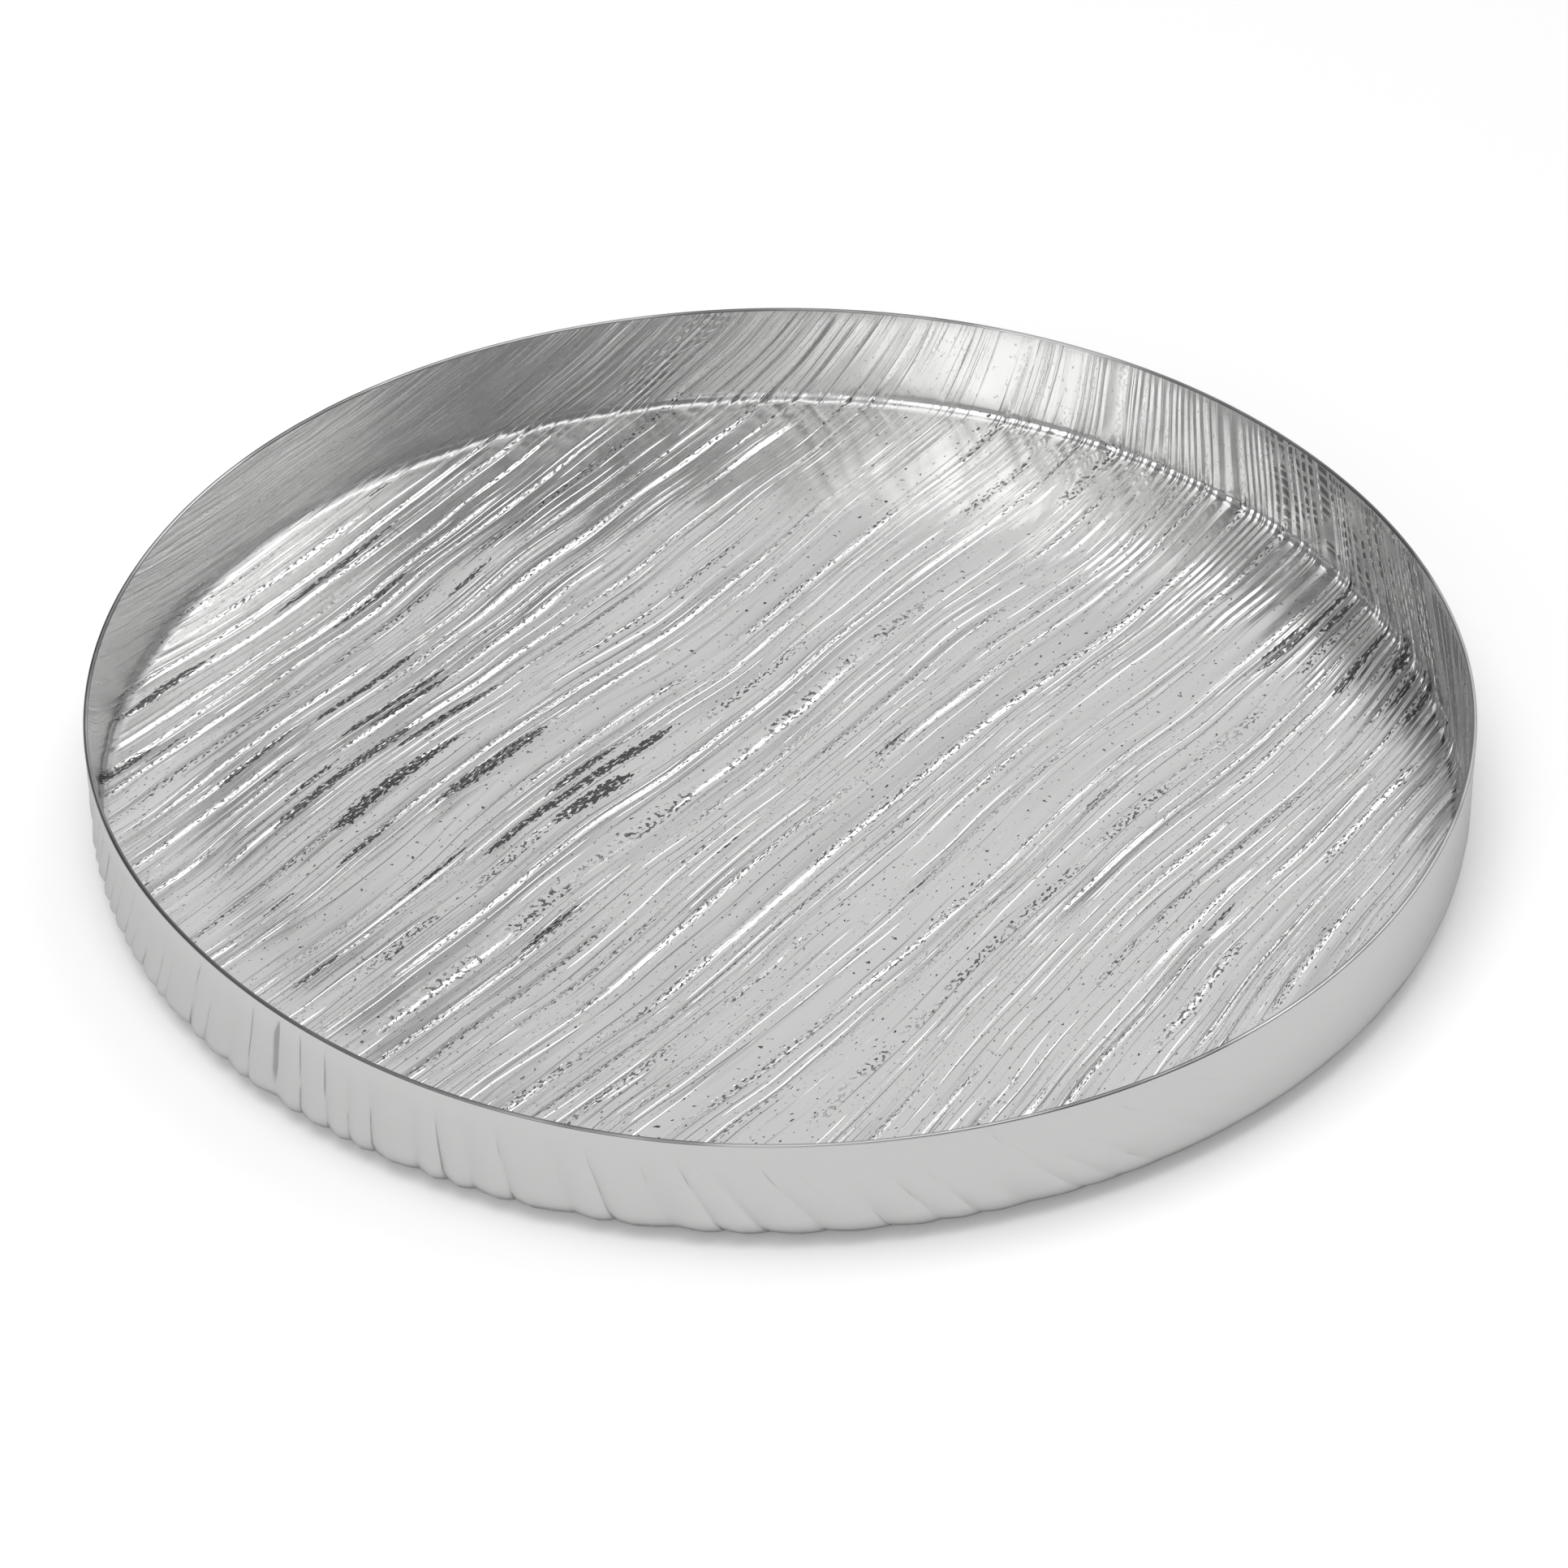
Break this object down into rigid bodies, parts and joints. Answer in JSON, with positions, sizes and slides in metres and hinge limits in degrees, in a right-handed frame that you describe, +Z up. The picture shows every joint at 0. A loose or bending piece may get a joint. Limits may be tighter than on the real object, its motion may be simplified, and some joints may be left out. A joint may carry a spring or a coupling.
{
  "type": "round tray",
  "caption": "Round silver serving tray raised from one sheet: level floor, sharp wall foot, low upright wall and a bare rounded lip, with a wood-grain relief.",
  "frame": {"origin": "middle of the level underside that the tray rests on, on the tray's own axis", "axes": "+Z up, along the tray's axis, out of its open side; X and Y are any two level directions, with the grain's run in the visual model about 52 degrees from +X towards +Y"},
  "size_m": [0.35, 0.35, 0.033],
  "materials": {
    "silver": "bright silver, polished outside; wood-grain relief with fine striations and pits inside"
  },
  "bodies": {
    "root": {"tray_body": "silver"}
  },
  "joints": []
}
